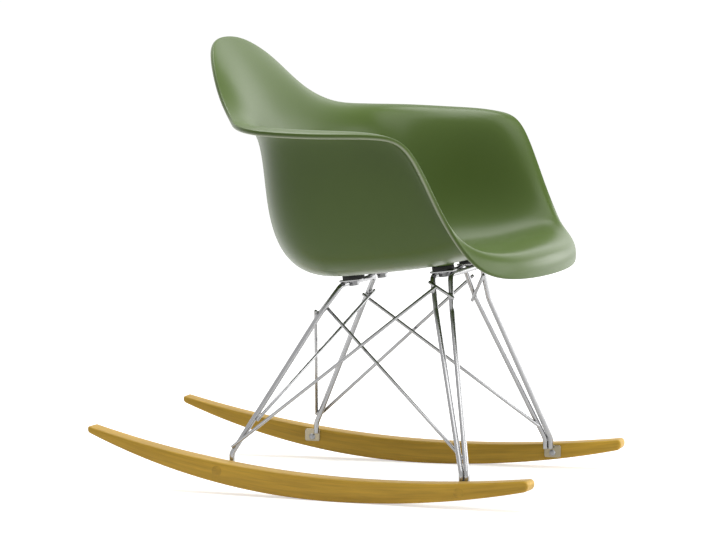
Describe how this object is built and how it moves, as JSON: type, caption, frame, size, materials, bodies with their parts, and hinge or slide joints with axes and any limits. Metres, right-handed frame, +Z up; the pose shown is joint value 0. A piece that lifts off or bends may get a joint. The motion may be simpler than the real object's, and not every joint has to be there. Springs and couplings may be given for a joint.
{
  "type": "rocking chair",
  "caption": "Moulded plastic bucket armchair on a crossed wire base with rubber mounts and curved wooden rockers.",
  "frame": {"origin": "on the floor, midway between the rockers and midway along their length", "axes": "+Z up, the sitter faces -Y, +X is the sitter's left"},
  "size_m": [0.6346, 0.7002, 0.6612],
  "materials": {
    "shell_plastic": "satin moulded olive green",
    "mount_rubber": "matt black",
    "wire_chrome": "bright plated",
    "fastener_steel": "zinc plated",
    "insert_brass": "plain turned",
    "rocker_wood": "clear lacquered maple",
    "plug_wood": "clear lacquered maple"
  },
  "bodies": {
    "root": {"foot_plate_front_left": "wire_chrome", "foot_plate_front_right": "wire_chrome", "foot_plate_rear_left": "wire_chrome", "foot_plate_rear_right": "wire_chrome", "front_bow_aft": "wire_chrome", "front_bow_fore": "wire_chrome", "front_tie_left": "wire_chrome", "front_tie_right": "wire_chrome", "mount_bolts": "fastener_steel", "mount_inserts": "insert_brass", "mount_plate_front_left": "wire_chrome", "mount_plate_front_right": "wire_chrome", "mount_plate_rear_left": "wire_chrome", "mount_plate_rear_right": "wire_chrome", "mount_washers": "fastener_steel", "rear_bow": "wire_chrome", "rear_brace_left": "wire_chrome", "rear_brace_right": "wire_chrome", "rocker_bolts": "fastener_steel", "rocker_left": "rocker_wood", "rocker_nuts": "fastener_steel", "rocker_plugs": "plug_wood", "rocker_right": "rocker_wood", "seat_shell": "shell_plastic", "shock_mounts": "mount_rubber", "side_brace_falling_left": "wire_chrome", "side_brace_falling_right": "wire_chrome", "side_brace_rising_left": "wire_chrome", "side_brace_rising_right": "wire_chrome"}
  },
  "joints": []
}
